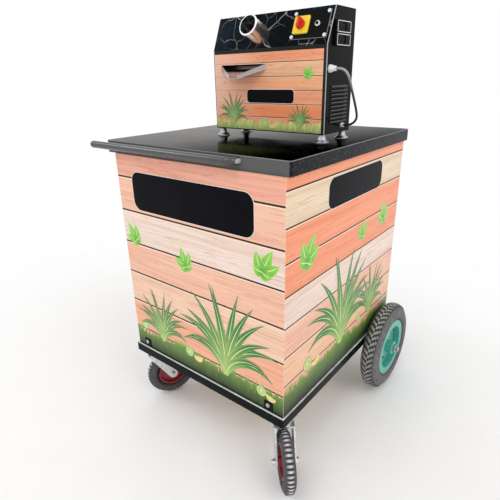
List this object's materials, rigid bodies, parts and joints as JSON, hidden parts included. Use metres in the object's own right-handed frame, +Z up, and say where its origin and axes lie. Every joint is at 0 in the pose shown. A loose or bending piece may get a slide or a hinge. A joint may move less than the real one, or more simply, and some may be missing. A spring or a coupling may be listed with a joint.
{
  "type": "sugarcane juice cart",
  "caption": "Boxy cabinet cart on swivel casters and large rear wheels, with a push handle and a motor-driven roller mill for cane on its counter, fed by a chute and draining to a spout.",
  "frame": {"origin": "on the floor, under the middle of the base frame", "axes": "+Z up, -Y the front with the push handle and the feed chute, +X to the right seen from the front"},
  "size_m": [0.9006, 0.9437, 1.419],
  "materials": {
    "frame_paint": "gloss black paint",
    "zinc": "zinc plated",
    "red_rim": "gloss dark red paint",
    "teal_rim": "gloss teal paint",
    "tyre": "moulded rubber",
    "printed_board": "printed laminate",
    "plain_board": "plain laminate",
    "counter": "gloss dark laminate",
    "mill_paint": "gloss black paint",
    "mill_print": "printed film on sheet steel",
    "stainless": "brushed",
    "steel": "machined",
    "bronze": "machined bronze",
    "casting": "painted casting",
    "black_plastic": "gloss",
    "yellow_plastic": "gloss",
    "red_plastic": "gloss",
    "white_plastic": "satin",
    "cable": "matte"
  },
  "bodies": {
    "cart": {"front_rail": "frame_paint", "back_rail": "frame_paint", "left_rail": "frame_paint", "right_rail": "frame_paint", "hold_down_cleats": "frame_paint", "cabinet_floor": "plain_board", "cabinet_front_panel": "printed_board", "cabinet_left_panel": "printed_board", "cabinet_right_panel": "printed_board", "cabinet_back_frame": "plain_board", "countertop": "counter", "push_handle": "frame_paint", "rear_axle": "steel", "axle_brackets": "frame_paint", "axle_nuts": "zinc", "caster_plates": "zinc", "door_hinges": "zinc", "machine_base": "mill_paint", "machine_feet": "zinc", "machine_left_side": "mill_paint", "machine_right_side": "mill_paint", "machine_front_panel": "mill_print", "machine_hood": "mill_paint", "machine_back_panel": "mill_paint", "feed_chute": "stainless", "juice_tray": "stainless", "juice_spout": "stainless", "control_plate": "black_plastic", "switch_plate": "yellow_plastic", "button_bezel": "white_plastic", "socket_plate": "black_plastic", "cable_glands": "white_plastic", "power_cable": "cable", "bearing_plates": "stainless", "roller_bushes": "bronze", "gearbox": "casting", "motor": "casting"},
    "caster_swivel_left": {"caster_fork_left": "zinc", "caster_axle_left": "zinc"},
    "caster_swivel_right": {"caster_fork_right": "zinc", "caster_axle_right": "zinc"},
    "caster_wheel_left": {"caster_rim_left": "red_rim", "caster_tyre_left": "tyre"},
    "caster_wheel_right": {"caster_rim_right": "red_rim", "caster_tyre_right": "tyre"},
    "rear_wheel_left": {"rear_rim_left": "teal_rim", "rear_tyre_left": "tyre"},
    "rear_wheel_right": {"rear_rim_right": "teal_rim", "rear_tyre_right": "tyre"},
    "back_door": {"back_door": "plain_board", "door_hinge_leaves": "zinc", "door_pull": "stainless"},
    "switch_knob": {"switch_knob": "red_plastic"},
    "push_button": {"push_button": "black_plastic"},
    "roller_top": {"roller_top": "stainless", "roller_gear_top": "steel"},
    "roller_front": {"roller_front": "stainless", "roller_gear_front": "steel"},
    "roller_back": {"roller_back": "stainless", "roller_gear_back": "steel"}
  },
  "joints": [
    {"name": "caster_swivel_left", "type": "hinge", "parent": "cart", "child": "caster_swivel_left", "pos_m": [-0.315, -0.345, 0.216], "axis": [0, 0, 1], "continuous": true},
    {"name": "caster_swivel_right", "type": "hinge", "parent": "cart", "child": "caster_swivel_right", "pos_m": [0.315, -0.345, 0.216], "axis": [0, 0, 1], "continuous": true},
    {"name": "caster_roll_left", "type": "hinge", "parent": "caster_swivel_left", "child": "caster_wheel_left", "pos_m": [-0.28957, -0.29287, 0.1], "axis": [0.8988, -0.4384, 0], "continuous": true},
    {"name": "caster_roll_right", "type": "hinge", "parent": "caster_swivel_right", "child": "caster_wheel_right", "pos_m": [0.35529, -0.38672, 0.1], "axis": [-0.7193, -0.6947, 0], "continuous": true},
    {"name": "rear_roll_left", "type": "hinge", "parent": "cart", "child": "rear_wheel_left", "pos_m": [-0.39, 0.297, 0.1825], "axis": [1, 0, 0], "continuous": true},
    {"name": "rear_roll_right", "type": "hinge", "parent": "cart", "child": "rear_wheel_right", "pos_m": [0.39, 0.297, 0.1825], "axis": [1, 0, 0], "continuous": true},
    {"name": "door_swing", "type": "hinge", "parent": "cart", "child": "back_door", "pos_m": [-0.2915, 0.3943, 0.6235], "axis": [0, 0, 1], "range_deg": [0, 105]},
    {"name": "switch_turn", "type": "hinge", "parent": "cart", "child": "switch_knob", "pos_m": [0.18, -0.07987, 1.3768], "axis": [0, -0.9258, 0.3779], "range_deg": [0, 90]},
    {"name": "button_press", "type": "slide", "parent": "cart", "child": "push_button", "axis": [0, 0.9258, -0.3779], "range_m": [0, 0.003], "stiffness_N_per_m": 400},
    {"name": "roller_spin_top", "type": "hinge", "parent": "cart", "child": "roller_top", "pos_m": [0.042, 0, 1.348], "axis": [1, 0, 0], "continuous": true},
    {"name": "roller_spin_front", "type": "hinge", "parent": "cart", "child": "roller_front", "pos_m": [0.042, -0.02925, 1.30622], "axis": [1, 0, 0], "continuous": true},
    {"name": "roller_spin_back", "type": "hinge", "parent": "cart", "child": "roller_back", "pos_m": [0.042, 0.02925, 1.30622], "axis": [1, 0, 0], "continuous": true}
  ],
  "couplings": [
    {"joint": "roller_spin_front", "follows": "roller_spin_top", "ratio": -1},
    {"joint": "roller_spin_back", "follows": "roller_spin_top", "ratio": -1}
  ]
}
